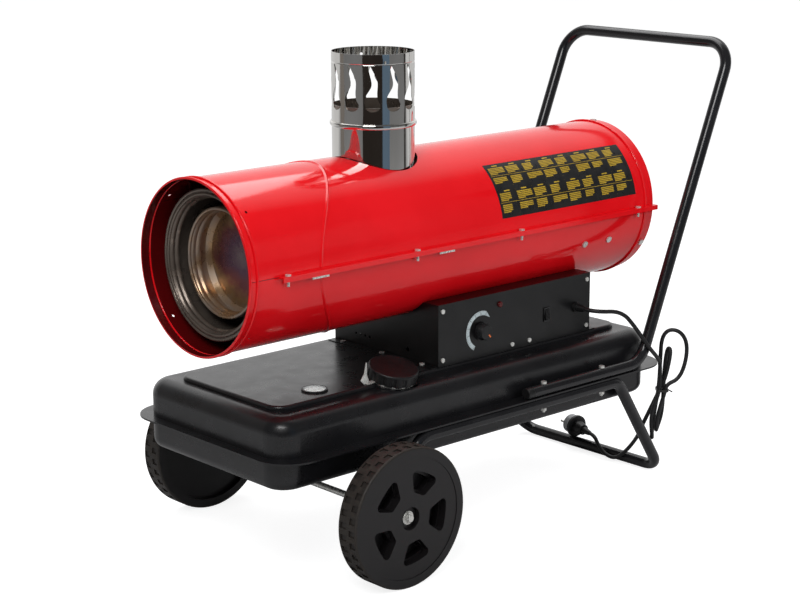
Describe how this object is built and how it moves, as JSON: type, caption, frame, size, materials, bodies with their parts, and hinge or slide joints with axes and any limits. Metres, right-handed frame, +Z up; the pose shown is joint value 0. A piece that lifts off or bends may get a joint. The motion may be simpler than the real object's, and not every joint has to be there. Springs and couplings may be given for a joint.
{
  "type": "forced air heater",
  "caption": "Indirect-fired cylindrical space heater on a fuel tank with barrow frame, flue outlet, control box and tied mains cord.",
  "frame": {"origin": "on the ground, midway between the rim of the hot-air outlet and the back of the handle, on the centre plane", "axes": "+X from the hot air outlet to the handle, +Y to the side away from the control panel, +Z up"},
  "size_m": [1.1648, 0.6066, 0.88],
  "materials": {
    "red_paint": "gloss powder paint",
    "zinc_steel": "zinc plated",
    "stainless_tinted": "heat-tinted stainless",
    "stainless_polished": "mirror-polished stainless",
    "brass": "turned",
    "ceramic_white": "glazed ceramic",
    "grey_paint": "satin paint",
    "aluminium": "as cast",
    "black_paint": "satin black paint",
    "black_powder": "semi-gloss powder coat",
    "black_tank": "semi-gloss black paint",
    "scale_print": "printed scale",
    "black_plastic": "moulded",
    "black_gloss_plastic": "moulded gloss",
    "red_lens": "dark red lens",
    "clear_lens": "clear",
    "white_plastic": "moulded",
    "wheel_plastic": "moulded wheel",
    "cord_rubber": "rubber sheath",
    "tie_plastic": "coated wire tie",
    "plug_rubber": "moulded plug",
    "plug_grey": "moulded face",
    "nickel": "nickel plated",
    "fuel_hose": "hose"
  },
  "bodies": {
    "chassis": {"casing_upper_front": "red_paint", "casing_lower_front": "red_paint", "casing_upper_rear": "red_paint", "casing_lower_rear": "red_paint", "seam_screws": "zinc_steel", "seam_clips": "zinc_steel", "casing_screws": "zinc_steel", "heat_exchanger": "stainless_tinted", "combustion_chamber": "stainless_tinted", "chamber_end_disc": "stainless_tinted", "chamber_supports": "stainless_tinted", "flue_outlet": "stainless_polished", "burner_tube": "stainless_tinted", "burner_nozzle": "brass", "igniter_electrodes": "ceramic_white", "motor": "grey_paint", "air_pump": "aluminium", "motor_bracket": "zinc_steel", "rear_grille": "black_powder", "control_box": "black_paint", "foot_screws": "zinc_steel", "control_panel": "black_paint", "panel_screws": "zinc_steel", "dial_scale": "scale_print", "thermostat": "black_plastic", "lamp": "red_lens", "switch_housing": "black_gloss_plastic", "cord_gland": "black_plastic", "ignition_transformer": "grey_paint", "fuel_line": "fuel_hose", "tank_upper": "black_tank", "tank_lower": "black_tank", "filler_neck": "black_tank", "cap_tether": "zinc_steel", "gauge_bezel": "black_plastic", "gauge_lens": "clear_lens", "frame_tube": "black_powder", "handle_tube": "black_powder", "handle_end_caps": "black_plastic", "frame_bolts": "zinc_steel", "frame_nuts": "zinc_steel", "axle": "zinc_steel", "axle_spacers": "zinc_steel", "axle_washers": "zinc_steel", "split_pins": "zinc_steel", "cord_hank": "cord_rubber", "cord_lead": "cord_rubber", "cord_tail": "cord_rubber", "cord_tie": "tie_plastic", "plug_body": "plug_rubber", "plug_face": "plug_grey", "plug_pins": "nickel"},
    "wheel_near": {"wheel_near": "wheel_plastic"},
    "wheel_far": {"wheel_far": "wheel_plastic"},
    "fan_rotor": {"fan": "aluminium", "motor_shaft": "zinc_steel"},
    "knob": {"knob": "black_plastic"},
    "rocker": {"rocker": "black_gloss_plastic"},
    "filler_cap": {"filler_cap": "black_plastic"},
    "gauge_float": {"gauge_float": "white_plastic"}
  },
  "joints": [
    {"name": "wheel_near_spin", "type": "hinge", "parent": "chassis", "child": "wheel_near", "pos_m": [-0.36392, -0.28, 0.125], "axis": [0, 1, 0], "continuous": true},
    {"name": "wheel_far_spin", "type": "hinge", "parent": "chassis", "child": "wheel_far", "pos_m": [-0.36392, 0.28, 0.125], "axis": [0, 1, 0], "continuous": true},
    {"name": "fan_spin", "type": "hinge", "parent": "chassis", "child": "fan_rotor", "pos_m": [0.36458, 0, 0.544], "axis": [1, 0, 0], "continuous": true},
    {"name": "knob_turn", "type": "hinge", "parent": "chassis", "child": "knob", "pos_m": [-0.04232, -0.1433, 0.367], "axis": [0, -1, 0], "range_deg": [0, 285]},
    {"name": "rocker_tilt", "type": "hinge", "parent": "chassis", "child": "rocker", "pos_m": [0.13158, -0.1438, 0.3693], "axis": [1, 0, 0], "range_deg": [0, 16]},
    {"name": "cap_turn", "type": "hinge", "parent": "chassis", "child": "filler_cap", "pos_m": [-0.25492, -0.134, 0.3168], "axis": [0, -0.2487, 0.9686], "range_deg": [0, 90]},
    {"name": "float_slide", "type": "slide", "parent": "chassis", "child": "gauge_float", "axis": [0, 0, 1], "range_m": [-0.015, 0]}
  ]
}
